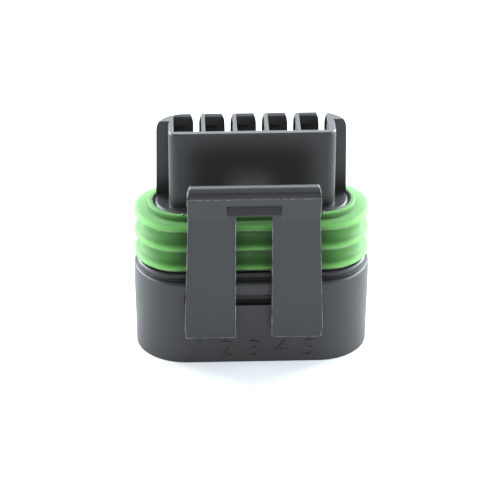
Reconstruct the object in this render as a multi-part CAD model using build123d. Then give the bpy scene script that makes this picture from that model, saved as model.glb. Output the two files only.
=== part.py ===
from build123d import *
import math
import os

# Sealed sensor connector for five cables: a moulded housing with an open comb
# nose and a latch in one piece, a ribbed ring seal round its core, and a cable
# seal pressed into the rear chamber.
# It stands on its rear rim and mates upwards, with the latch at the front (-Y).
# Everything is laid out about the connector's own centre line in millimetres,
# and then moved back by origin_shift, so that the origin is the centre of the base.

# Contacts
ways = 5
pitch = 4.0                  # from one contact to the next
partition = 0.45             # wall between two cavities
left_room = 1.9              # contact's axis to the wall on its left, which carries its finger
cavity_front = 1.7           # centre line to the front wall's inner face
finger_wall = 0.85           # back wall of the comb

# Nose and core
nose_top = 30.9              # height of the mating end above the base
core_top = 20.4              # step where the core ends and the nose goes on
core_depth = 7.74            # front to back
end_wall = 0.67              # wall to the left of the first cavity
wing_reach = 1.88            # how far the core stands out past the front block, each side
wing_front = 1.33            # front face of the wings, behind the centre line
block_front = 2.55           # front face of the block, before the centre line
block_corner = 1.1
nose_draft = 0.12            # the nose narrows by this much, each side, up to its lead-in
lead_in_height = 1.45        # eased zone round the top of the nose
lead_in = 0.36               # and how far it draws in
lead_in_share = 0.97         # share of a quarter ellipse that its curve takes
lead_in_steps = 4
rim_ease = 0.2               # front block's top edge
core_ease = 0.25             # core's top edge
land = 0.1                   # flat left on top of each finger
slot_width = 0.72            # gap that frees each finger from the next wall
slot_depth = 6.4             # from the nose's top down
finger_past_centre = 0.67    # finger's free edge, past its contact's axis
pocket_width = 1.5           # relief in each finger's inner face
pocket_depth = 0.35
pocket_drop = 1.6            # top of the relief below the nose's top
pocket_height = 4.6
floor_height = 14.2          # where each contact's cavity narrows
crimp_passage = 2.6          # square passage below that

# Ring seal
seal_top = 20.5
rib_pitch = 2.85
rib_count = 3
top_rib = 19.2               # height of the uppermost rib's tip
rib_reach = 1.0              # how far a rib stands out of the sleeve
rib_root = 1.4               # thickness at the sleeve
rib_neck = 0.84              # thickness where the tip's bevels start
rib_tip = 0.34               # flat left at the tip
rib_bevel = 0.28             # the tip's bevels, in from the tip
seal_side = 2.65             # core to rib tip at the ends
seal_face = 2.23             # core to rib tip at the front and back
seal_corner = 5.7            # rib tip's corner, seen from above
rim_width = 0.75             # flat rim round the top of the sleeve
rim_gap = 0.15               # the sleeve's mouth is this much wider than the core
rim_gap_height = 1.1
rim_bevel = 0.15
seal_clearance = 0.02        # keeps rubber and plastic faces from crossing

# Flange and skirt
flange_height = 0.85         # above the skirt's top
flange_set_back = 0.35       # inside the rib tips
flange_ease = 0.2
skirt_top = 11.7
skirt_side = 0.1             # skirt past the rib tips at the ends
skirt_face = 0.75            # and at the front and back
skirt_corner = 6.75
skirt_edge = 0.3             # rounded top edge
skirt_wall = 1.3
parting_height = 8.5         # below this line the skirt drafts in
skirt_draft = 0.17           # in total, at the base
chamber_roof = 7.9           # top of the rear chamber

# Latch
latch_gap = 0.55             # skirt's front to the latch's inner face
latch_wall = 1.0
latch_root = 4.7             # lower end of the legs
latch_top = 26.6
latch_half_top = 8.3         # half width below the lip
latch_half_root = 8.8        # half width at the lower end
flare_start = 21.6           # the legs run straight up to here
flare = 0.85                 # the lip stands out by this much
lip_height = 1.35            # front of the lip
lip_round = 0.85             # its rounded upper edge
crest_round = 0.2            # edge between the lip's top and the lead-in
lip_corner = 0.45
window_half = 2.32
window_top = 22.3            # the catch edge
window_corner = 0.35
recess_half = 3.5            # recess in the flare, down to the legs' face
recess_height = 1.75         # above the window
recess_rim = 0.12            # flat left over the window
recess_lean = 0.3            # the recess gets this much deeper towards its top
groove_depth = 1.0           # relief in the skirt behind the legs
groove_round = 1.0
groove_floor_gap = 0.9       # straight part of the relief
foot_ease = 0.2              # the legs narrow by this much, each side, at their foot
foot_rise = 1.4
lip_flat = 1.1               # from the lip's front to the lead-in behind it
lead_slope = 2.2             # drop over run of the lead-in behind it
lip_overhang = 0.1           # the lip is wider than the legs by this much, each side
lip_draw_in = 0.2            # and narrower at its top

# Cable seal
mat_recess = 2.4             # rear rim to the seal
mat_gap = 0.15               # seal to the chamber's roof
mat_rib = 0.55               # how far the seal's own ribs stand out
mat_rib_height = 0.9
mat_rib_bevel = 0.28
mat_rib_count = 2
wire_hole = 2.2              # bore for one cable
bead_reach = 0.4             # snap beads that keep the seal in
bead_length = 5.0
bead_height = 0.7

# Modelling allowances
past = 1.0                   # how far a cutting body runs past the face it cuts
skin = 0.01                  # overlap that lets two bodies join
level = 1e-4                 # tolerance when edges are looked up by their height

# Sizes that follow
cavity_width = pitch - partition
row_half = (ways - 1) * pitch / 2                    # middle of the row to its last contact
block_half = row_half + left_room + end_wall
core_half = block_half + wing_reach
core_back = core_depth / 2
finger_inner = core_back - finger_wall
tip_half = core_half + seal_side
tip_depth = core_back + seal_face
flange_top = skirt_top + flange_height
skirt_half = tip_half + skirt_side
skirt_front = tip_depth + skirt_face
chamber_half = skirt_half - skirt_draft - skirt_wall
chamber_depth = skirt_front - skirt_draft - skirt_wall
chamber_corner = skirt_corner - skirt_draft - skirt_wall
latch_inner = skirt_front + latch_gap
latch_outer = latch_inner + latch_wall
lip_front = latch_outer + flare
origin_shift = (lip_front - skirt_front) / 2
contact_line = (finger_inner - cavity_front) / 2     # middle of the cavities, front to back
cavity_centres = [k * pitch - row_half for k in range(ways)]


def outline(half_width, half_depth, corner, height=0.0):
    """Rounded oblong seen from above."""
    corner = min(corner, half_depth - skin / 10)
    return Pos(0, 0, height) * RectangleRounded(2 * half_width, 2 * half_depth, corner)


def block(x0, x1, y0, y1, z0, z1):
    """Plain block between two corners."""
    size = (x1 - x0, y1 - y0, z1 - z0)
    return Pos((x0 + x1) / 2, (y0 + y1) / 2, (z0 + z1) / 2) * Box(*size)


def tapered(half_width, half_depth, corner, z0, z1, draw_in):
    """Upright oblong body that draws in by draw_in at its far end."""
    angle = math.degrees(math.atan2(draw_in, abs(z1 - z0)))
    return extrude(outline(half_width, half_depth, corner, z0), amount=z1 - z0, taper=angle)


def edges_at(body, height):
    """Edges that lie flat at one height."""
    return body.edges().filter_by_position(Axis.Z, height - level, height + level)


def drawn_in(share):
    """How far the lead-in has drawn in at a share of its height, along an ellipse."""
    drop, full = (1 - math.sqrt(1 - (lead_in_share * k) ** 2) for k in (share, 1))
    return lead_in * drop / full


def eased_nose():
    """Drafted oval body of the nose whose top draws in along a curve."""
    shoulder = nose_top - lead_in_height
    body = tapered(core_half, core_back, core_back, core_top, shoulder, nose_draft)
    for k in range(lead_in_steps):
        low, high = k / lead_in_steps, (k + 1) / lead_in_steps
        inset = nose_draft + drawn_in(low)
        body += tapered(
            core_half - inset, core_back - inset, core_back - inset,
            shoulder + low * lead_in_height, shoulder + high * lead_in_height,
            drawn_in(high) - drawn_in(low),
        )
    return body


def wings():
    """Back bar of the nose, an oval cut off square at the front."""
    foot = core_top - 2 * core_ease
    body = eased_nose() + extrude(outline(core_half, core_back, core_back, foot), amount=core_top - foot)
    side = core_half + past
    return body - block(-side, side, -core_back - past, wing_front, core_top - past, nose_top + past)


def front_block():
    """Box of the nose that stands before the back bar."""
    depth = wing_front + block_front + block_corner
    body = extrude(
        Pos(0, depth / 2 - block_front, core_top) * RectangleRounded(2 * block_half, depth, block_corner),
        amount=nose_top - core_top,
    )
    side = block_half + past
    body -= block(-side, side, wing_front, depth + past, core_top - past, nose_top + past)
    front_edges = edges_at(body, nose_top).filter_by(lambda e: e.center().Y < wing_front - skin)
    return chamfer(front_edges, rim_ease)


def cavity(x):
    """Space for one contact, with the narrower passage and the hole below it."""
    left = x - left_room
    upper = block(left, left + cavity_width, -cavity_front, finger_inner, floor_height, nose_top + past)
    passage = Pos(x, contact_line, (floor_height + chamber_roof) / 2) * Box(
        crimp_passage, crimp_passage, floor_height - chamber_roof + past
    )
    return upper + passage


def finger_lead(x):
    """Bevel along the top inner edge of one finger, between its two walls."""
    run = finger_wall - lead_in - nose_draft - land
    profile = Polyline(
        (finger_inner - skin, nose_top - run), (finger_inner + run, nose_top + skin),
        (finger_inner - skin, nose_top + skin), close=True,
    )
    face = Plane.YZ * make_face(profile)
    return Pos(x - left_room, 0, 0) * extrude(face, amount=cavity_width)


def slot(x):
    """Gap beside one finger, flared at the top like the rest of the nose."""
    left = x + finger_past_centre
    right = left + slot_width
    shoulder = nose_top - lead_in_height
    radius = (lead_in_height ** 2 + lead_in ** 2) / (2 * lead_in)
    top = nose_top + skin
    base = nose_top - slot_depth
    lines = [
        Line((left, base), (left, shoulder)),
        RadiusArc((left, shoulder), (left - lead_in, top), -radius),
        Line((left - lead_in, top), (right + lead_in, top)),
        RadiusArc((right + lead_in, top), (right, shoulder), -radius),
        Line((right, shoulder), (right, base)),
        Line((right, base), (left, base)),
    ]
    face = Plane.XZ * make_face(Curve() + lines)
    return Pos(0, finger_inner - skin, 0) * extrude(face, amount=-(finger_wall + past))


def finger_pocket(x):
    """Relief in a finger's inner face beside its wall."""
    left = x - left_room
    top = nose_top - pocket_drop
    back = finger_inner + pocket_depth
    return block(left, left + pocket_width, finger_inner - skin, back, top - pocket_height, top)


def comb_nose():
    """Nose with its cavities, fingers and slots."""
    body = wings() + front_block()
    for x in cavity_centres:
        body -= finger_lead(x)
        body -= slot(x)
        body -= finger_pocket(x)
    return body


def skirt():
    """Oval skirt, straight above the parting line and drafted below it."""
    plan = outline(skirt_half, skirt_front, skirt_corner, parting_height)
    upper = extrude(plan, amount=skirt_top - parting_height)
    upper = fillet(edges_at(upper, skirt_top), skirt_edge)
    lower = tapered(skirt_half, skirt_front, skirt_corner, parting_height, 0, skirt_draft)
    body = upper + lower
    body -= extrude(outline(chamber_half, chamber_depth, chamber_corner), amount=chamber_roof)
    return body


def snap_beads():
    """Low ridges inside the skirt that keep the cable seal from backing out."""
    reach = chamber_depth - bead_reach
    root = chamber_depth + skirt_wall / 4
    top = mat_recess - seal_clearance
    profile = Polyline(
        (reach, top), (root, top), (root, top - bead_height), (chamber_depth, top - bead_height), close=True,
    )
    face = Plane.YZ * make_face(profile)
    bar = Pos(-bead_length / 2, 0, 0) * extrude(face, amount=bead_length)
    pairs = []
    for x in (-chamber_half / 2, chamber_half / 2):
        pairs.append(Pos(x, 0, 0) * bar)
        pairs.append(Pos(x, 0, 0) * mirror(bar, Plane.XZ))
    return pairs


def groove():
    """Relief across the skirt's front that lets the latch legs flex."""
    inner = -(skirt_front - groove_depth)
    floor = parting_height
    ceiling = floor + groove_floor_gap
    outer = -(skirt_front + skin)
    lines = [
        Line((outer, floor), (inner, floor)),
        Line((inner, floor), (inner, ceiling)),
        RadiusArc((inner, ceiling), (outer, ceiling + groove_round), groove_round),
        Line((outer, ceiling + groove_round), (outer, floor)),
    ]
    face = Plane.YZ * make_face(Curve() + lines)
    return Pos(-latch_half_root, 0, 0) * extrude(face, amount=2 * latch_half_root)


def latch_side():
    """Latch seen from its end: legs, flared lip and lead-in behind the lip."""
    inner, outer, front = -latch_inner, -latch_outer, -lip_front
    anchor = -(skirt_front - skirt_wall / 2)
    lip_low = latch_top - lip_height
    crest = front + lip_flat
    lead_low = latch_top - (inner - crest) * lead_slope
    lines = [
        Line((anchor, latch_root), (outer, latch_root)),
        Line((outer, latch_root), (outer, flare_start)),
        Line((outer, flare_start), (front, lip_low)),
        Line((front, lip_low), (front, latch_top)),
        Line((front, latch_top), (crest, latch_top)),
        Line((crest, latch_top), (inner, lead_low)),
        Line((inner, lead_low), (inner, parting_height)),
        Line((inner, parting_height), (anchor, parting_height)),
        Line((anchor, parting_height), (anchor, latch_root)),
    ]
    face = make_face(Curve() + lines)
    for radius, which in ((crest_round, 1), (lip_round, 0)):
        top = face.vertices().sort_by(Axis.Y)[-2:].sort_by(Axis.X)
        face = fillet(top[which], radius)
    return Plane.YZ * face


def latch_front():
    """Latch seen from the front, with the window between its legs."""
    right = [
        (latch_half_root - foot_ease, latch_root), (latch_half_root, latch_root + foot_rise),
        (latch_half_top, flare_start), (latch_half_top + lip_overhang, latch_top - lip_height),
        (latch_half_top - lip_draw_in, latch_top),
    ]
    left = [(-x, z) for x, z in reversed(right)]
    face = make_face(Polyline(*right, *left, close=True))
    top_corners = face.vertices().sort_by(Axis.Y)[-2:]
    face = fillet(top_corners, lip_corner)
    height = window_top - latch_root + past
    window = Pos(0, window_top - height / 2) * Rectangle(2 * window_half, height)
    window = fillet(window.vertices().sort_by(Axis.Y)[-2:], window_corner)
    return Plane.XZ * (face - window)


def recess():
    """Cut into the flare over the window, with a floor that leans back towards its top."""
    low, top = window_top + recess_rim, window_top + recess_height
    clear = -lip_front - past
    profile = Polyline(
        (clear, flare_start - past), (-latch_outer, flare_start - past), (-latch_outer, low),
        (-latch_outer + recess_lean, top), (clear, top), close=True,
    )
    return Pos(-recess_half, 0, 0) * extrude(Plane.YZ * make_face(profile), amount=2 * recess_half)


def latch():
    """Latch arm, cut from its two views."""
    side = latch_half_root + past
    across = Pos(-side, 0, 0) * extrude(latch_side(), amount=2 * side)
    through = extrude(latch_front(), amount=lip_front + past)
    return (across & through) - recess()


def housing():
    """The whole moulding, as the body and the latch arm that grows out of the skirt's face."""
    sunk = skirt_top - past
    core = extrude(outline(core_half, core_back, core_back, sunk), amount=core_top - sunk)
    core = chamfer(edges_at(core, core_top), core_ease)
    back = flange_set_back
    plan = outline(tip_half - back, tip_depth - back, seal_corner - back, sunk)
    flange = extrude(plan, amount=flange_top - sunk)
    flange = chamfer(edges_at(flange, flange_top), flange_ease)
    body = skirt() - groove()
    body += flange
    body += core
    body += comb_nose()
    for bead in snap_beads():
        body += bead
    for x in cavity_centres:
        body -= cavity(x)
    arm = latch() - body
    return Compound([*body.solids(), *arm.solids()])


def rib(height):
    """One sealing rib: a flat tip with two bevels above it and two below."""
    body = extrude(outline(tip_half, tip_depth, seal_corner, height - rib_tip / 2), amount=rib_tip)
    for inset, draw_in, narrow, wide in (
        (0, rib_bevel, rib_tip / 2, rib_neck / 2),
        (rib_bevel, rib_reach - rib_bevel, rib_neck / 2, rib_root / 2),
    ):
        plan = tip_half - inset, tip_depth - inset, seal_corner - inset
        body += tapered(*plan, height + narrow, height + wide, draw_in)
        body += tapered(*plan, height - narrow, height - wide, draw_in)
    return body


def interface_seal():
    """Ribbed ring that seals the connector in the sensor's socket."""
    base = flange_top + seal_clearance
    sleeve = extrude(
        outline(tip_half - rib_reach, tip_depth - rib_reach, seal_corner - rib_reach, base),
        amount=seal_top - rim_width - base,
    )
    rim_outer = core_back + rim_gap + rim_width
    rim_half = core_half + rim_gap + rim_width
    shoulder = seal_top - rim_width
    body = sleeve + extrude(outline(rim_half, rim_outer, rim_outer, shoulder), amount=rim_width)
    for k in range(rib_count):
        body += rib(top_rib - k * rib_pitch)
    fit = core_half + seal_clearance, core_back + seal_clearance
    body -= extrude(outline(*fit, fit[1], base - past), amount=seal_top - base + 2 * past)
    mouth = core_half + rim_gap, core_back + rim_gap
    body -= extrude(outline(*mouth, mouth[1], seal_top - rim_gap_height), amount=rim_gap_height + past)
    return chamfer(edges_at(body, seal_top), rim_bevel)


def cable_seal():
    """Thick rubber mat with ribs round it and a hole for each cable."""
    low, high = mat_recess, chamber_roof - mat_gap
    reach = seal_clearance
    half, depth, corner = chamber_half - reach, chamber_depth - reach, chamber_corner - reach
    body = extrude(outline(half - mat_rib, depth - mat_rib, corner - mat_rib, low), amount=high - low)
    step = (high - low - mat_rib_height) / (mat_rib_count - 1)
    for k in range(mat_rib_count):
        foot = low + k * step
        ring = extrude(outline(half, depth, corner, foot), amount=mat_rib_height)
        body += chamfer(edges_at(ring, foot) + edges_at(ring, foot + mat_rib_height), mat_rib_bevel)
    for x in cavity_centres:
        body -= Pos(x, contact_line, (low + high) / 2) * Cylinder(wire_hole / 2, high - low + 2 * past)
    return body


def write(name, body):
    """Write one sub-part about the origin at the centre of the base."""
    export_step(Pos(0, origin_shift, 0) * body, os.path.join("parts", name + ".step"))


os.makedirs("parts", exist_ok=True)
write("housing", housing())
write("interface_seal", interface_seal())
write("cable_seal", cable_seal())
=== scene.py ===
import math
import bmesh
import bpy
from mathutils import Matrix, Vector


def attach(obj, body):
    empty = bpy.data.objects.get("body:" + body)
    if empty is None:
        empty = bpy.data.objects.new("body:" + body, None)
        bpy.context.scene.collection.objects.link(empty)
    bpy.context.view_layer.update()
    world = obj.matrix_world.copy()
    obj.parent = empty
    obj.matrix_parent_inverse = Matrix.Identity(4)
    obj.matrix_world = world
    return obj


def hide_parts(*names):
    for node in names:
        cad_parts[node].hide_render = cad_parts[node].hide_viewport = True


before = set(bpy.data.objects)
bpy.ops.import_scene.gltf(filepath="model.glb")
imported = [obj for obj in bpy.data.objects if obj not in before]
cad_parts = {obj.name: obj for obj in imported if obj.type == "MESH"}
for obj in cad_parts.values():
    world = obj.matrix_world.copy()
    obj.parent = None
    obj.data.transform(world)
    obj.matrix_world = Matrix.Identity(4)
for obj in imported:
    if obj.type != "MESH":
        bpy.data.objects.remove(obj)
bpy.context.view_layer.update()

# Sealed sensor connector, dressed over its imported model.
# It stands on its rear rim with the mating nose up and the latch towards the camera.

mm = 0.001
perMetre = 1 / mm  # a texture's scale is this over the size of its pattern in mm
centreLine = 1.2 * mm  # the nose and seals are centred this far behind the origin
print("frame: nodes", sorted(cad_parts))


# Node tree helpers

def addNode(tree, kind, **settings):
    node = tree.nodes.new(kind)
    for name, value in settings.items():
        setattr(node, name, value)
    return node


def feed(tree, node, **inputs):
    # i0, i1 and so on stand for an input by its place, and any other word for its name
    for name, value in inputs.items():
        byPlace = name[0] == "i" and name[1:].isdigit()
        socket = node.inputs[int(name[1:]) if byPlace else name]
        if isinstance(value, bpy.types.NodeSocket):
            tree.links.new(value, socket)
        else:
            socket.default_value = value
    return node


def calc(tree, operation, value, other=0.0, clamp=False):
    node = addNode(tree, "ShaderNodeMath", operation=operation, use_clamp=clamp)
    return feed(tree, node, i0=value, i1=other).outputs[0]


def vectorCalc(tree, operation, value, other):
    node = addNode(tree, "ShaderNodeVectorMath", operation=operation)
    return feed(tree, node, i0=value, i1=other).outputs


def remap(tree, value, low, high, toLow=0.0, toHigh=1.0, easing="LINEAR"):
    node = addNode(tree, "ShaderNodeMapRange", interpolation_type=easing)
    return feed(tree, node, i0=value, i1=low, i2=high, i3=toLow, i4=toHigh).outputs[0]


def mixColour(tree, share, colour, other):
    node = addNode(tree, "ShaderNodeMix", data_type="RGBA")
    return feed(tree, node, i0=share, i6=colour, i7=other).outputs[2]


def noise(tree, dimensions="3D", **inputs):
    node = addNode(tree, "ShaderNodeTexNoise", noise_dimensions=dimensions)
    return feed(tree, node, **inputs).outputs


def bumpNormal(tree, **inputs):
    return feed(tree, addNode(tree, "ShaderNodeBump"), **inputs).outputs[0]


def splitVector(tree, vector):
    return feed(tree, addNode(tree, "ShaderNodeSeparateXYZ"), Vector=vector).outputs


def joinVector(tree, **parts):
    return feed(tree, addNode(tree, "ShaderNodeCombineXYZ"), **parts).outputs[0]


def objectPlace(tree):
    return addNode(tree, "ShaderNodeTexCoord").outputs["Object"]


def newSocket(tree, name, kind, direction="INPUT", value=None):
    socket = tree.interface.new_socket(name=name, in_out=direction, socket_type=kind)
    if value is not None:
        socket.default_value = value


# Effects that more than one finish uses, with sizes in mm

def shaderGroup(name, inputs, outputs):
    tree = bpy.data.node_groups.new(name, "ShaderNodeTree")
    for label, value in inputs.items():
        newSocket(tree, label, "NodeSocketFloat", value=value)
    for label, kind in outputs.items():
        newSocket(tree, label, kind, "OUTPUT")
    return tree, addNode(tree, "NodeGroupInput").outputs, addNode(tree, "NodeGroupOutput")


def mouldGrainGroup():
    inputs = {"Grain Size": 0.15, "Smudge Size": 3.0, "Roughness": 0.4, "Smudge": 0.1}
    results = {label: "NodeSocketFloat" for label in ("Height", "Roughness", "Cloud")}
    tree, given, out = shaderGroup("mouldGrain", inputs, results)
    place = objectPlace(tree)
    grainScale = calc(tree, "DIVIDE", perMetre, given["Grain Size"])
    smudgeScale = calc(tree, "DIVIDE", perMetre, given["Smudge Size"])
    grain = noise(tree, Vector=place, Scale=grainScale, Detail=3.0, Roughness=0.6)["Fac"]
    cloud = noise(tree, Vector=place, Scale=smudgeScale, Detail=4.0, Roughness=0.55)["Fac"]
    swing = calc(tree, "MULTIPLY", calc(tree, "SUBTRACT", cloud, 0.5), given["Smudge"])
    rough = calc(tree, "ADD", swing, given["Roughness"], clamp=True)
    feed(tree, out, Height=grain, Roughness=rough, Cloud=cloud)
    return tree


def easedEdgeGroup():
    results = {"Normal": "NodeSocketVector", "Edge": "NodeSocketFloat"}
    tree, given, out = shaderGroup("easedEdge", {"Radius": 0.1}, results)
    radius = calc(tree, "MULTIPLY", given["Radius"], mm)
    soft = feed(tree, addNode(tree, "ShaderNodeBevel", samples=6), Radius=radius).outputs[0]
    flat = addNode(tree, "ShaderNodeNewGeometry").outputs["Normal"]
    agreement = vectorCalc(tree, "DOT_PRODUCT", soft, flat)["Value"]
    edge = calc(tree, "SUBTRACT", 1.0, agreement, clamp=True)
    feed(tree, out, Normal=soft, Edge=edge)
    return tree


def dustSpecksGroup():
    # Speck is a speck's radius as a share of the spacing, and Share is how many cells hold one
    inputs = {"Spacing": 1.0, "Speck": 0.1, "Share": 0.05}
    tree, given, out = shaderGroup("dustSpecks", inputs, {"Mask": "NodeSocketFloat"})
    cellScale = calc(tree, "DIVIDE", perMetre, given["Spacing"])
    cells = addNode(tree, "ShaderNodeTexVoronoi")
    feed(tree, cells, Vector=objectPlace(tree), Scale=cellScale)
    split = feed(tree, addNode(tree, "ShaderNodeSeparateColor"), Color=cells.outputs["Color"])
    picked = calc(tree, "LESS_THAN", split.outputs[0], given["Share"])
    spot = calc(tree, "LESS_THAN", cells.outputs["Distance"], given["Speck"])
    feed(tree, out, Mask=calc(tree, "MULTIPLY", picked, spot))
    return tree


grainGroup = mouldGrainGroup()
edgeGroup = easedEdgeGroup()
dustGroup = dustSpecksGroup()


def useGroup(tree, group, **inputs):
    return feed(tree, addNode(tree, "ShaderNodeGroup", node_tree=group), **inputs).outputs


# Finishes: colours are linear, sizes in mm

dustColour = (0.32, 0.31, 0.29, 1.0)


def newMaterial(name):
    mat = bpy.data.materials.new(name)
    mat.use_nodes = True
    return mat, mat.node_tree, mat.node_tree.nodes["Principled BSDF"]


def surfaceGrain(tree, look):
    return useGroup(tree, grainGroup, Roughness=look["roughness"], Smudge=look["smudge"],
                    **{"Grain Size": look["grain"], "Smudge Size": look["smudgeSize"]})


def dusted(tree, look, colour):
    mask = useGroup(tree, dustGroup, Spacing=look["dustSpacing"], Speck=look["dustSpeck"],
                    Share=look["dust"])["Mask"]
    return mixColour(tree, mask, colour, dustColour)


# Edges are painted paler, partly wear and partly a painted highlight along them.
# Where an edge starts to pale and is fully pale is 1 less the cosine of its eased normal's lean
housingLook = {
    "colour": (0.018, 0.0178, 0.0176, 1.0),
    "edgeWearAndHighlight": (0.16, 0.165, 0.175, 1.0),
    "edgeRadius": 0.11,
    "paleFrom": 0.02,
    "paleTo": 0.5,
    "roughness": 0.42,
    "smudge": 0.06,  # how much the roughness changes from place to place
    "smudgeSize": 3.5,
    "grain": 0.16,
    "grainDepth": 0.02,
    "grainStrength": 0.05,
    "dust": 0.02,
    "dustSpacing": 1.3,
    "dustSpeck": 0.09,
}

# Front faces inside the comb painted lighter, a painted fill light standing in for light that reaches
# them: behind, above and within these places
combPaintedFill = {
    "colour": (0.08, 0.08, 0.08, 1.0),
    "behind": 1.4,
    "above": 24.0,
    "halfWidth": 10.3,
    "facing": 0.6,  # least share of the normal that points to the front
}

# The rounding of the lip's upright front, which only bends its normals
lipRounding = {
    "from": 25.0,  # heights between which the face leans back
    "to": 26.35,
    "drop": 0.165,
    "front": -6.0,  # full in front of this place, and none behind the next
    "back": -5.0,
}

# Flash beads painted paler, a painted highlight glinting along the latch's edges
flashGlintLook = {**housingLook, "colour": (0.20, 0.205, 0.21, 1.0), "roughness": 0.35}


def paintedFillMask(tree, place):
    comb = combPaintedFill
    normal = addNode(tree, "ShaderNodeNewGeometry").outputs["Normal"]
    mask = calc(tree, "LESS_THAN", splitVector(tree, normal)["Y"], -comb["facing"])
    sideways = calc(tree, "ABSOLUTE", place["X"])
    for limit in (calc(tree, "GREATER_THAN", place["Y"], comb["behind"] * mm),
                  calc(tree, "GREATER_THAN", place["Z"], comb["above"] * mm),
                  calc(tree, "LESS_THAN", sideways, comb["halfWidth"] * mm)):
        mask = calc(tree, "MULTIPLY", mask, limit)
    return mask


def lipNormal(tree, place, normal):
    lip = lipRounding
    lean = remap(tree, place["Z"], lip["from"] * mm, lip["to"] * mm, 0.0, -lip["drop"] * mm, "SMOOTHSTEP")
    onLip = remap(tree, place["Y"], lip["front"] * mm, lip["back"] * mm, 1.0, 0.0)
    height = calc(tree, "MULTIPLY", lean, onLip)  # in metres, so the bump's distance is 1
    return bumpNormal(tree, Strength=1.0, Distance=1.0, Height=height, Normal=normal)


def mouldedPlastic(name, look):
    mat, tree, shader = newMaterial(name)
    place = splitVector(tree, objectPlace(tree))
    grain = surfaceGrain(tree, look)
    eased = useGroup(tree, edgeGroup, Radius=look["edgeRadius"])
    rounded = lipNormal(tree, place, eased["Normal"])
    normal = bumpNormal(tree, Strength=look["grainStrength"], Distance=look["grainDepth"] * mm,
                        Height=grain["Height"], Normal=rounded)
    # painted fill light: the comb's inner front faces take the lighter colour
    base = mixColour(tree, paintedFillMask(tree, place), look["colour"], combPaintedFill["colour"])
    # paler edges: partly wear, partly a painted highlight
    wearAndHighlight = remap(tree, eased["Edge"], look["paleFrom"], look["paleTo"])
    wornAndHighlighted = mixColour(tree, wearAndHighlight, base, look["edgeWearAndHighlight"])
    colour = dusted(tree, look, wornAndHighlighted)
    feed(tree, shader, Roughness=grain["Roughness"], Normal=normal, **{"Base Color": colour})
    return mat


sealLook = {
    # painted shade in the rib valleys and a painted glow on the rib tips
    "valleyShade": (0.038, 0.165, 0.018, 1.0),
    "plain": (0.042, 0.17, 0.020, 1.0),
    "tip": (0.13, 0.36, 0.08, 1.0),
    "cloud": 0.25,  # how much the colour changes from place to place
    "deep": (0.007, 0.026, 0.003, 1.0),  # where little light gets in
    "deepReach": 6.0,
    "deepBelow": 0.22,  # share of open room round a spot that makes it fully deep
    "openAbove": 0.75,  # share that leaves its colour as it is
    "roughness": 0.55,
    "smudge": 0.2,  # how much the roughness changes from place to place
    "smudgeSize": 1.6,
    "grain": 0.1,
    "grainDepth": 0.02,
    "grainStrength": 0.1,
    "dust": 0.08,
    "dustSpacing": 0.6,
    "dustSpeck": 0.15,
    "specular": 0.3,
    "bloom": 0.2,  # the dry, powdery sheen of new rubber
    "glowThrough": 0.35,
    "glowReach": (0.3, 1.0, 0.25),
    "glowScale": 0.6,
}


# The rib tips are painted lighter, a painted glow through the rubber, and the valleys darker, painted
# shade.
def ribPaintedLightColour(tree, look, cloud):
    # ribTip is -1 in a valley and 1 on a tip, and a piece without it reads 0
    ribTip = addNode(tree, "ShaderNodeAttribute", attribute_name="ribTip").outputs["Fac"]
    tipShare = calc(tree, "ADD", calc(tree, "MULTIPLY", ribTip, 0.5), 0.5)
    swing = calc(tree, "MULTIPLY", calc(tree, "SUBTRACT", cloud, 0.5), look["cloud"])
    level = calc(tree, "ADD", tipShare, swing, clamp=True)
    ramp = feed(tree, addNode(tree, "ShaderNodeValToRGB"), Fac=level)
    stops = ramp.color_ramp.elements
    stops[0].color, stops[1].color = look["valleyShade"], look["tip"]
    stops.new(0.5).color = look["plain"]
    return ramp.outputs[0]


def sealRubber():
    look = sealLook
    mat, tree, shader = newMaterial("sealRubber")
    grain = surfaceGrain(tree, look)
    normal = bumpNormal(tree, Strength=look["grainStrength"], Distance=look["grainDepth"] * mm,
                        Height=grain["Height"])
    colour = dusted(tree, look, ribPaintedLightColour(tree, look, grain["Cloud"]))
    openness = feed(tree, addNode(tree, "ShaderNodeAmbientOcclusion", samples=8),
                    Distance=look["deepReach"] * mm).outputs["AO"]
    lit = remap(tree, openness, look["deepBelow"], look["openAbove"])
    shaded = mixColour(tree, lit, look["deep"], colour)
    feed(tree, shader, Roughness=grain["Roughness"], Normal=normal, **{"Base Color": shaded})
    shader.inputs["Sheen Weight"].default_value = look["bloom"]
    shader.inputs["Specular IOR Level"].default_value = look["specular"]
    shader.inputs["Subsurface Weight"].default_value = look["glowThrough"]
    shader.inputs["Subsurface Radius"].default_value = look["glowReach"]
    shader.inputs["Subsurface Scale"].default_value = look["glowScale"] * mm
    return mat


def dress(name, material):
    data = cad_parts[name].data
    data.materials.clear()
    data.materials.append(material)


plastic = mouldedPlastic("housingPlastic", housingLook)
# paler finish for the flash beads: a painted highlight
flashGlintPlastic = mouldedPlastic("flashGlintPlastic", flashGlintLook)
rubber = sealRubber()
dress("housing", plastic)
dress("interface_seal", rubber)
dress("cable_seal", rubber)
print("finishes: housing plastic, flash, seal rubber")


# Pieces swept along a path by Geometry Nodes

mergeWithin = 0.0001 * mm


def faceOutwards(mesh):
    work = bmesh.new()
    work.from_mesh(mesh)
    bmesh.ops.remove_doubles(work, verts=work.verts, dist=mergeWithin)
    bmesh.ops.recalc_face_normals(work, faces=work.faces)
    work.to_mesh(mesh)
    work.free()


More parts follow.
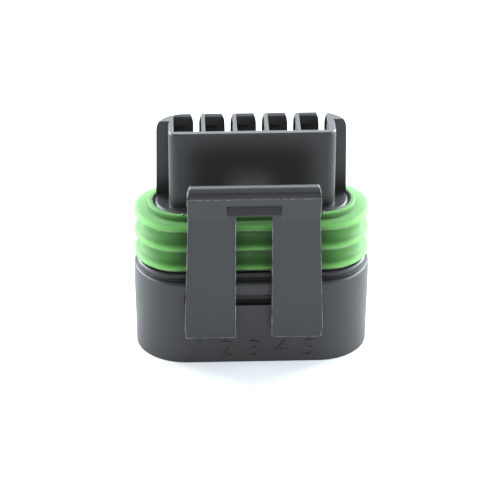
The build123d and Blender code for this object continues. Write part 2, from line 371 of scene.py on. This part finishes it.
def geometryTree(name, carried=False, **inputs):
    tree = bpy.data.node_groups.new(name, "GeometryNodeTree")
    if carried:
        newSocket(tree, "Geometry", "NodeSocketGeometry")
    for label, value in inputs.items():
        kind = "NodeSocketInt" if isinstance(value, int) else "NodeSocketFloat"
        newSocket(tree, label, "NodeSocketMaterial" if value is None else kind, value=value)
    newSocket(tree, "Geometry", "NodeSocketGeometry", "OUTPUT")
    return tree, addNode(tree, "NodeGroupInput").outputs, addNode(tree, "NodeGroupOutput")


def endTree(tree, out, geometry, material):
    real = feed(tree, addNode(tree, "GeometryNodeRealizeInstances"), Geometry=geometry)
    painted = addNode(tree, "GeometryNodeSetMaterial")
    feed(tree, painted, Geometry=real.outputs[0], Material=material)
    tree.links.new(painted.outputs[0], out.inputs[0])


def lineMesh(name, lines):
    corners, edges = [], []
    for line in lines:
        edges += [(len(corners) + k, len(corners) + k + 1) for k in range(len(line) - 1)]
        corners += line
    mesh = bpy.data.meshes.new(name)
    mesh.from_pydata(corners, edges, [])
    return mesh


def applied(name, tree, body="root", smoothAngle=40.0, lines=(), **inputs):
    carrier = bpy.data.objects.new(name + "Carrier", lineMesh(name + "Carrier", lines))
    bpy.context.scene.collection.objects.link(carrier)
    modifier = carrier.modifiers.new(tree.name, "NODES")
    modifier.node_group = tree
    named = {item.name: item.identifier for item in tree.interface.items_tree if item.in_out == "INPUT"}
    for label, value in inputs.items():
        modifier[named[label]] = value
    graph = bpy.context.evaluated_depsgraph_get()
    mesh = bpy.data.meshes.new_from_object(carrier.evaluated_get(graph), depsgraph=graph)
    bpy.data.objects.remove(carrier)
    mesh.name = name
    faceOutwards(mesh)
    mesh.polygons.foreach_set("use_smooth", [True] * len(mesh.polygons))
    mesh.set_sharp_from_angle(angle=math.radians(smoothAngle))
    piece = bpy.data.objects.new(name, mesh)
    bpy.context.scene.collection.objects.link(piece)
    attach(piece, body)
    print("piece", name, len(mesh.polygons), "faces")
    return piece


# Ring seal: a sleeve with three ribs, a flat rim round the core, and two gate nubs

ringSeal = {
    "Half Width": 15.1 * mm,
    "Half Depth": 6.1 * mm,
    "Corner": 5.7 * mm,
    "Corner Steps": 20,
    "Base": 12.57 * mm,
    "Shoulder": 19.78 * mm,
    "Thickness": 0.95 * mm,
    "Reach": 1.0 * mm,  # of a rib out from the sleeve
    "Pitch": 2.85 * mm,
    "Top Rib": 19.2 * mm,
    "Profile Points": 132,
    "Core Half Width": 12.45 * mm,
    "Core Half Depth": 3.87 * mm,
    "Rim Gap": 0.15 * mm,
    "Rim Width": 0.75 * mm,
    "Rim Top": 20.5 * mm,
    "Rim Steps": 28,
    "Rim Softness": 0.3,  # radius of its edges as a share of its width
    "Rim Edge Steps": 5,
    "Nub Distance": 8.9 * mm,
    "Nub Radius": 0.2 * mm,
}
# A rib's side: how far towards the valley, and the share of the reach left there
ribFlank = [(0.0, 1.0), (0.1, 0.97), (0.2, 0.86), (0.32, 0.62),
            (0.46, 0.33), (0.62, 0.12), (0.8, 0.02), (1.0, 0.0)]


def oblongPath(tree, halfWidth, halfDepth, corner, steps):
    width = calc(tree, "MULTIPLY", halfWidth, 2.0)
    depth = calc(tree, "MULTIPLY", halfDepth, 2.0)
    outline = addNode(tree, "GeometryNodeCurvePrimitiveQuadrilateral")
    feed(tree, outline, Width=width, Height=depth)
    rounded = addNode(tree, "GeometryNodeFilletCurve", mode="POLY")
    feed(tree, rounded, Curve=outline.outputs[0], Count=steps, Radius=corner, **{"Limit Radius": True})
    return rounded.outputs[0]


def sweptBand(tree, path, profile):
    # Turned over first, because a swept profile's own y points down
    turned = feed(tree, addNode(tree, "GeometryNodeTransform"), Geometry=profile, Scale=(1, -1, 1))
    band = addNode(tree, "GeometryNodeCurveToMesh")
    return feed(tree, band, Curve=path, **{"Profile Curve": turned.outputs[0]}).outputs[0]


def pointLine(tree, start, end, count):
    line = addNode(tree, "GeometryNodeMeshLine", mode="END_POINTS")
    return feed(tree, line, Count=count, **{"Start Location": start, "Offset": end}).outputs[0]


def isPoint(tree, index, number):
    node = addNode(tree, "FunctionNodeCompare", data_type="INT", operation="EQUAL")
    return feed(tree, node, A=index, B=number).outputs[0]


def ribReach(tree, given):
    place = addNode(tree, "GeometryNodeInputPosition").outputs[0]
    fromRib = calc(tree, "SUBTRACT", splitVector(tree, place)["Y"], given["Top Rib"])
    halfPitch = calc(tree, "DIVIDE", given["Pitch"], 2.0)
    away = calc(tree, "DIVIDE", calc(tree, "PINGPONG", fromRib, halfPitch), halfPitch)
    flank = feed(tree, addNode(tree, "ShaderNodeFloatCurve"), Value=away)
    points = flank.mapping.curves[0].points
    points[0].location, points[1].location = ribFlank[0], ribFlank[-1]
    for spot in ribFlank[1:-1]:
        points.new(*spot)
    flank.mapping.update()
    return flank.outputs[0]


def ribbedSleeve(tree, given):
    # The profile starts as an upright line, and x is how far each point is moved out
    start = joinVector(tree, Y=given["Base"])
    end = joinVector(tree, Y=given["Shoulder"])
    line = pointLine(tree, start, end, given["Profile Points"])
    profile = feed(tree, addNode(tree, "GeometryNodeMeshToCurve"), Mesh=line).outputs[0]
    share = ribReach(tree, given)
    tipMark = calc(tree, "SUBTRACT", calc(tree, "MULTIPLY", share, 2.0), 1.0)
    marked = addNode(tree, "GeometryNodeStoreNamedAttribute", data_type="FLOAT", domain="POINT")
    feed(tree, marked, Geometry=profile, Name="ribTip", Value=tipMark)

    # Its two end points go in to the sleeve's inner wall
    index = addNode(tree, "GeometryNodeInputIndex").outputs[0]
    lastPoint = calc(tree, "SUBTRACT", given["Profile Points"], 1.0)
    ends = addNode(tree, "FunctionNodeBooleanMath", operation="OR")
    feed(tree, ends, i0=isPoint(tree, index, 0), i1=isPoint(tree, index, lastPoint))
    outer = calc(tree, "MULTIPLY", share, given["Reach"])
    inner = calc(tree, "MULTIPLY", given["Thickness"], -1.0)
    sideways = addNode(tree, "GeometryNodeSwitch", input_type="FLOAT")
    feed(tree, sideways, Switch=ends.outputs[0], **{"False": outer, "True": inner})
    shaped = addNode(tree, "GeometryNodeSetPosition")
    feed(tree, shaped, Geometry=marked.outputs[0], Offset=joinVector(tree, X=sideways.outputs[0]))
    closed = addNode(tree, "GeometryNodeSetSplineCyclic")
    feed(tree, closed, Geometry=shaped.outputs[0], Cyclic=True)

    sizes = [calc(tree, "SUBTRACT", given[label], given["Reach"])
             for label in ("Half Width", "Half Depth", "Corner")]
    return sweptBand(tree, oblongPath(tree, *sizes, given["Corner Steps"]), closed.outputs[0])


def coreRim(tree, given, halfDepth):
    halfRim = calc(tree, "DIVIDE", given["Rim Width"], 2.0)
    halfWidth = calc(tree, "ADD", given["Core Half Width"], calc(tree, "ADD", given["Rim Gap"], halfRim))
    path = oblongPath(tree, halfWidth, halfDepth, halfDepth, given["Rim Steps"])
    height = calc(tree, "SUBTRACT", given["Rim Top"], given["Base"])
    middle = calc(tree, "DIVIDE", calc(tree, "ADD", given["Rim Top"], given["Base"]), 2.0)
    section = addNode(tree, "GeometryNodeCurvePrimitiveQuadrilateral")
    feed(tree, section, Width=given["Rim Width"], Height=height)
    soft = addNode(tree, "GeometryNodeFilletCurve", mode="POLY")
    feed(tree, soft, Curve=section.outputs[0], Count=given["Rim Edge Steps"],
         Radius=calc(tree, "MULTIPLY", given["Rim Width"], given["Rim Softness"]))
    raised = addNode(tree, "GeometryNodeSetPosition")
    feed(tree, raised, Geometry=soft.outputs[0], Offset=joinVector(tree, Y=middle))
    return sweptBand(tree, path, raised.outputs[0])


def gateNubs(tree, given, halfDepth):
    nub = addNode(tree, "GeometryNodeMeshIcoSphere")
    feed(tree, nub, Radius=given["Nub Radius"], Subdivisions=3)
    front = calc(tree, "MULTIPLY", halfDepth, -1.0)
    leftX = calc(tree, "MULTIPLY", given["Nub Distance"], -1.0)
    left = joinVector(tree, X=leftX, Y=front, Z=given["Rim Top"])
    right = joinVector(tree, X=given["Nub Distance"], Y=front, Z=given["Rim Top"])
    nubs = addNode(tree, "GeometryNodeInstanceOnPoints")
    feed(tree, nubs, Points=pointLine(tree, left, right, 2), Instance=nub.outputs[0])
    return nubs.outputs[0]


def ribbedRingTree():
    tree, given, out = geometryTree("ribbedRing", **ringSeal, Rubber=None)
    halfRim = calc(tree, "DIVIDE", given["Rim Width"], 2.0)
    rimDepth = calc(tree, "ADD", given["Core Half Depth"], calc(tree, "ADD", given["Rim Gap"], halfRim))
    parts = ribbedSleeve(tree, given), coreRim(tree, given, rimDepth), gateNubs(tree, given, rimDepth)
    joined = addNode(tree, "GeometryNodeJoinGeometry")
    for part in parts:
        tree.links.new(part, joined.inputs[0])
    placed = addNode(tree, "GeometryNodeTransform")
    feed(tree, placed, Geometry=joined.outputs[0], Translation=(0, centreLine, 0))
    endTree(tree, out, placed.outputs[0], given["Rubber"])
    return tree


sealRing = applied("ribbedSeal", ribbedRingTree(), smoothAngle=50.0, Rubber=rubber)
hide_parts("interface_seal")
low, high = (Vector(c) / mm for c in (sealRing.bound_box[0], sealRing.bound_box[6]))
print("ring seal from", [round(v, 2) for v in low], "to", [round(v, 2) for v in high])


# Flash: thin uneven beads that the mould left along the latch's edges

# Where the latch's edges run, in mm, for its right half
latchEdges = {
    "face": -7.2,
    "foot": 4.7,
    "footSide": 8.6,
    "widest": 8.8,
    "widestAt": 6.1,
    "flareSide": 8.3,
    "flareStart": 21.6,
    "lipSide": 8.4,
    "seamHeight": 25.08,
    "seamFace": -7.985,
    "window": 2.32,
    "windowTop": 22.3,
    "corner": 0.35,
}
flashBead = {
    "Radius": 0.055 * mm,
    "Thinnest": 0.35,  # share of the radius that is left in a thin patch
    "Thin Below": 0.38,  # noise levels between which a bead grows from thin to full
    "Full Above": 0.66,
    "Patch Size": 0.9 * mm,
    "Waver": 0.03 * mm,
    "Waver Pace": 2.5,  # wavers to a patch
    "Step": 0.13 * mm,
    "Sides": 6,
    "Seed": 3,
}
lipBead = {"Radius": 0.06 * mm, "Waver": 0.3 * mm, "Patch Size": 0.5 * mm}  # where it differs on the lip


def edgeLines(side):
    at = latchEdges
    foot = (at["footSide"], at["face"], at["foot"])
    windowFoot = (at["window"], at["face"], at["foot"])
    windowHead = (at["window"], at["face"], at["windowTop"] - at["corner"])
    widest = (at["widest"], at["face"], at["widestAt"])
    flare = (at["flareSide"], at["face"], at["flareStart"])
    seamEnd = (at["lipSide"], at["seamFace"], at["seamHeight"])
    lines = ((foot, widest, flare, seamEnd), (foot, windowFoot), (windowFoot, windowHead))
    return [[(side * x * mm, y * mm, z * mm) for x, y, z in line] for line in lines]


def flashTree():
    tree, given, out = geometryTree("flashSeam", carried=True, **flashBead, Plastic=None)
    curve = feed(tree, addNode(tree, "GeometryNodeMeshToCurve"), Mesh=given["Geometry"]).outputs[0]
    even = addNode(tree, "GeometryNodeResampleCurve", mode="LENGTH")
    feed(tree, even, Curve=curve, Length=given["Step"])
    place = addNode(tree, "GeometryNodeInputPosition").outputs[0]
    patchScale = calc(tree, "DIVIDE", 1.0, given["Patch Size"])
    waverScale = calc(tree, "MULTIPLY", patchScale, given["Waver Pace"])
    patch = noise(tree, "4D", Vector=place, W=given["Seed"], Scale=patchScale, Detail=2.0)["Fac"]
    waver = noise(tree, "4D", Vector=place, W=given["Seed"], Scale=waverScale, Detail=1.0)["Color"]

    # The line wavers sideways and up and down, but not out of the latch's face
    centred = vectorCalc(tree, "SUBTRACT", waver, (0.5, 0.5, 0.5))["Vector"]
    inFace = vectorCalc(tree, "MULTIPLY", centred, (1, 0, 1))["Vector"]
    shift = addNode(tree, "ShaderNodeVectorMath", operation="SCALE")
    feed(tree, shift, i0=inFace, Scale=given["Waver"])
    moved = addNode(tree, "GeometryNodeSetPosition")
    feed(tree, moved, Geometry=even.outputs[0], Offset=shift.outputs[0])
    share = remap(tree, patch, given["Thin Below"], given["Full Above"], given["Thinnest"], 1.0)
    section = addNode(tree, "GeometryNodeCurvePrimitiveCircle")
    feed(tree, section, Resolution=given["Sides"], Radius=1.0)
    bead = addNode(tree, "GeometryNodeCurveToMesh")
    feed(tree, bead, Curve=moved.outputs[0], Scale=calc(tree, "MULTIPLY", share, given["Radius"]),
         **{"Profile Curve": section.outputs[0], "Fill Caps": True})
    endTree(tree, out, bead.outputs[0], given["Plastic"])
    return tree


def flashPiece(name, lines, **inputs):
    piece = applied(name, flashSeamTree, lines=lines, Plastic=flashGlintPlastic, **inputs)


flashSeamTree = flashTree()
flashPiece("legFlash", edgeLines(-1) + edgeLines(1))
flashPiece("lipFlash", [[edgeLines(side)[0][-1] for side in (-1, 1)]], **lipBead)


# Raised numbers on the skirt, one below each contact, in mm

numberMarks = {
    "centres": (-6.9, -3.37, 0.16, 3.7, 7.2),
    "base": 0.78,
    "height": 2.5,
    "heightShare": 0.70,  # a figure's height as a share of the font's size
    "thinner": 0.035,
    "relief": 0.13,
    "sink": 0.05,
    "curveSteps": 6,
    "wallAtParting": -5.65,
    "partingHeight": 8.5,
    "draft": 0.17,
    "frontShare": 0.7,  # least share of the normal that points to the front on a figure's own face
}
# The figures' edges are painted paler still, a painted highlight along their outlines
numberLook = {**housingLook, "edgeRadius": 0.07, "edgeWearAndHighlight": (0.3, 0.31, 0.32, 1.0)}
# Dark sides: painted shade in the corners round a figure
shadeColour = (0.006, 0.006, 0.006, 1.0)
numberShadedSideLook = {**housingLook, "colour": shadeColour, "edgeWearAndHighlight": shadeColour,
                  "roughness": 0.75, "edgeRadius": 0.02}
numberPlastic = mouldedPlastic("numberPlastic", numberLook)
numberShadedSides = mouldedPlastic("numberShadedSides", numberShadedSideLook)


def figureMesh(figure):
    spec = numberMarks
    text = bpy.data.curves.new("numberText", "FONT")
    text.body = figure
    text.align_x = "CENTER"
    text.size = spec["height"] * mm / spec["heightShare"]
    text.extrude = (spec["relief"] + spec["sink"]) * mm / 2
    text.offset = -spec["thinner"] * mm
    text.resolution_u = spec["curveSteps"]
    carrier = bpy.data.objects.new("numberText", text)
    bpy.context.scene.collection.objects.link(carrier)
    graph = bpy.context.evaluated_depsgraph_get()
    mesh = bpy.data.meshes.new_from_object(carrier.evaluated_get(graph))
    bpy.data.objects.remove(carrier)
    return mesh


def raisedNumbers():
    spec = numberMarks
    slope = math.atan2(spec["draft"], spec["partingHeight"])
    turn = Matrix.Rotation(math.pi / 2 + slope, 4, "X")
    below = spec["partingHeight"] - spec["base"]
    wall = spec["wallAtParting"] + spec["draft"] * below / spec["partingHeight"]
    middle = (spec["relief"] - spec["sink"]) / 2
    for k, x in enumerate(spec["centres"]):
        mesh = figureMesh(str(k + 1))
        mesh.transform(Matrix.Translation((x * mm, (wall - middle) * mm, spec["base"] * mm)) @ turn)
        faceOutwards(mesh)
        mesh.materials.clear()
        mesh.materials.append(numberPlastic)
        mesh.materials.append(numberShadedSides)
        # faces that don't face the front take the painted shade
        for face in mesh.polygons:
            face.material_index = 0 if face.normal.y < -spec["frontShare"] else 1
        mark = bpy.data.objects.new("number" + str(k + 1), mesh)
        bpy.context.scene.collection.objects.link(mark)
        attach(mark, "root")
    print("numbers on the skirt:", len(spec["centres"]))


raisedNumbers()


# Studio, with its places and sizes in metres

coolLight = (0.88, 0.95, 1.0)
roomGlow = 0.05
lampAim = (0, 0, 15 * mm)
studio = {
    "back": {"place": (0.0, 0.50, 0.36), "size": (0.8, 0.45), "power": 5.2},
    "overhead": {"place": (0.0, 0.20, 0.57), "size": (0.5, 0.4), "power": 4.0},
    "left": {"place": (-0.50, -0.05, 0.16), "size": (0.30, 0.30), "power": 3.8},
    "right": {"place": (0.50, -0.05, 0.16), "size": (0.30, 0.30), "power": 5.4},
    "leftBack": {"place": (-0.42, 0.32, 0.25), "size": (0.30, 0.40), "power": 7.5},
    "rightBack": {"place": (0.42, 0.32, 0.25), "size": (0.30, 0.40), "power": 9.0},
    "front": {"place": (0.0, -0.45, 0.45), "size": (0.50, 0.30), "power": 1.0},
}
# The floor is a painted pool of light round the part: its tone and glow fade darker away from it, so
# upright faces mirror less light
floorLook = {
    "halfSize": 1.5,
    "pale": (0.42, 0.42, 0.42, 1.0),
    "dim": (0.1, 0.1, 0.1, 1.0),
    "roughness": 0.9,
    "glow": 0.42,
    "middle": (0, 0.06, 0),
    "fadeFrom": 0.115,
    "fadeTo": 0.26,
}


def floorLightPool():
    look = floorLook
    mat, tree, shader = newMaterial("paleFloor")
    away = vectorCalc(tree, "DISTANCE", objectPlace(tree), look["middle"])["Value"]
    fade = remap(tree, away, look["fadeFrom"], look["fadeTo"], easing="SMOOTHSTEP")
    # painted pool of light: pale and glowing near the part, dim away from it
    tone = mixColour(tree, fade, look["pale"], look["dim"])
    poolGlow = mixColour(tree, fade, (*coolLight, 1.0), (0.0, 0.0, 0.0, 1.0))
    feed(tree, shader, **{"Base Color": tone, "Emission Color": poolGlow})
    shader.inputs["Roughness"].default_value = look["roughness"]
    shader.inputs["Emission Strength"].default_value = look["glow"]
    return mat


def floorPlane():
    half = floorLook["halfSize"]
    corners = [(-half, -half, 0), (half, -half, 0), (half, half, 0), (-half, half, 0)]
    data = bpy.data.meshes.new("floor")
    data.from_pydata(corners, [], [(0, 1, 2, 3)])
    data.materials.append(floorLightPool())
    floor = bpy.data.objects.new("floor", data)
    bpy.context.scene.collection.objects.link(floor)


def softbox(name, spec):
    light = bpy.data.lights.new(name, "AREA")
    light.shape = "RECTANGLE"
    light.size, light.size_y = spec["size"]
    light.energy = spec["power"]
    light.color = coolLight
    lamp = bpy.data.objects.new(name, light)
    bpy.context.scene.collection.objects.link(lamp)
    place = Vector(spec["place"])
    lamp.location = place
    lamp.rotation_mode = "QUATERNION"
    lamp.rotation_quaternion = (Vector(lampAim) - place).to_track_quat("-Z", "Y")


def paleRoom():
    world = bpy.data.worlds.new("paleRoom")
    world.use_nodes = True
    background = world.node_tree.nodes["Background"]
    background.inputs["Color"].default_value = (*coolLight, 1.0)
    background.inputs["Strength"].default_value = roomGlow
    bpy.context.scene.world = world


floorPlane()
for name, spec in studio.items():
    softbox(name + "Softbox", spec)
paleRoom()
bpy.context.scene.view_settings.view_transform = "Standard"
print("studio: floor and", len(studio), "softboxes")


# Camera where the photograph was taken from, with its angles in degrees

cameraFit = {
    "azimuth": -2.29,
    "elevation": 29.06,
    "roll": 0.18,
    "distance": 332 * mm,
    "target": (0.0, centreLine, 15 * mm),
    "targetPixel": (251.46, 235.25),  # where the target shows in the photograph
    "imageSide": 500,
    "pixelsPerMetre": 7739.0,  # at the target's distance
    "sensorWidth": 36.0,
    "clip": (0.01, 10.0),
}


def photoCamera():
    fit = cameraFit
    azimuth, elevation, roll = (math.radians(fit[angle]) for angle in ("azimuth", "elevation", "roll"))
    level = math.cos(elevation)
    back = Vector((math.sin(azimuth) * level, -math.cos(azimuth) * level, math.sin(elevation)))
    across = Vector((math.cos(azimuth), math.sin(azimuth), 0.0))
    upward = back.cross(across)
    right = math.cos(roll) * across + math.sin(roll) * upward
    up = -math.sin(roll) * across + math.cos(roll) * upward
    half = fit["imageSide"] / 2
    rightShift = (fit["targetPixel"][0] - half) / fit["pixelsPerMetre"]
    upShift = (half - fit["targetPixel"][1]) / fit["pixelsPerMetre"]
    data = bpy.data.cameras.new("photoCamera")
    data.sensor_width = fit["sensorWidth"]
    data.lens = fit["pixelsPerMetre"] * fit["distance"] / fit["imageSide"] * fit["sensorWidth"]
    data.clip_start, data.clip_end = fit["clip"]
    camera = bpy.data.objects.new("photoCamera", data)
    bpy.context.scene.collection.objects.link(camera)
    place = Vector(fit["target"]) + back * fit["distance"] - right * rightShift - up * upShift
    turn = Matrix((right, up, back)).transposed()
    camera.matrix_world = Matrix.Translation(place) @ turn.to_4x4()
    bpy.context.scene.camera = camera
    print("camera: lens", round(data.lens, 1), "mm")


photoCamera()
